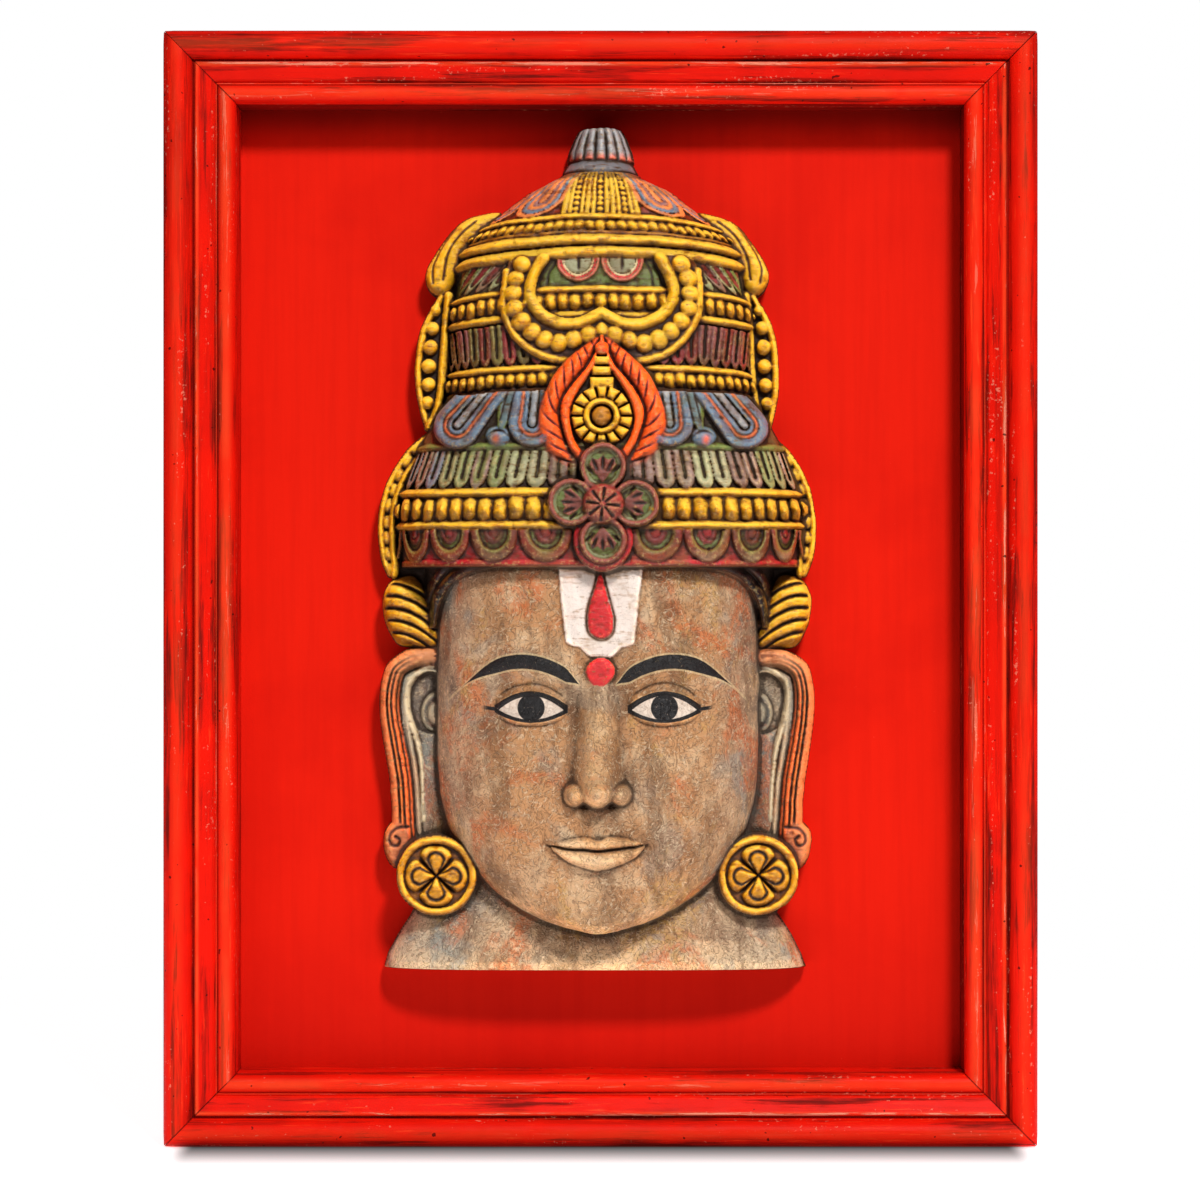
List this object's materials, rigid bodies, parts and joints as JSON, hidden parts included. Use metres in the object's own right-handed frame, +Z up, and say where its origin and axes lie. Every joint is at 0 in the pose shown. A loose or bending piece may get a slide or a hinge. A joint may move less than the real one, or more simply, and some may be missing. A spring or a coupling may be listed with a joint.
{
  "type": "framed carved deity mask",
  "caption": "Painted wooden deity mask with a tall crown, carved in relief and mounted on a flat red board inside a moulded red picture frame, to hang on a wall",
  "frame": {"origin": "middle of the top rail's back face, where a hanger plate is screwed on and the frame bears on the wall", "axes": "+X to the right as seen from the front, +Y into the wall, +Z up; the mask faces -Y"},
  "size_m": [0.517, 0.1145, 0.66],
  "materials": {
    "red_rail": "worn red gloss paint over dark primer",
    "red_board": "smooth red satin paint",
    "carved_paint": "aged paint in many colours with dark grime in the cuts"
  },
  "bodies": {
    "root": {"frame_top": "red_rail", "frame_right": "red_rail", "frame_bottom": "red_rail", "frame_left": "red_rail", "backing_board": "red_board", "mask": "carved_paint"}
  },
  "joints": []
}
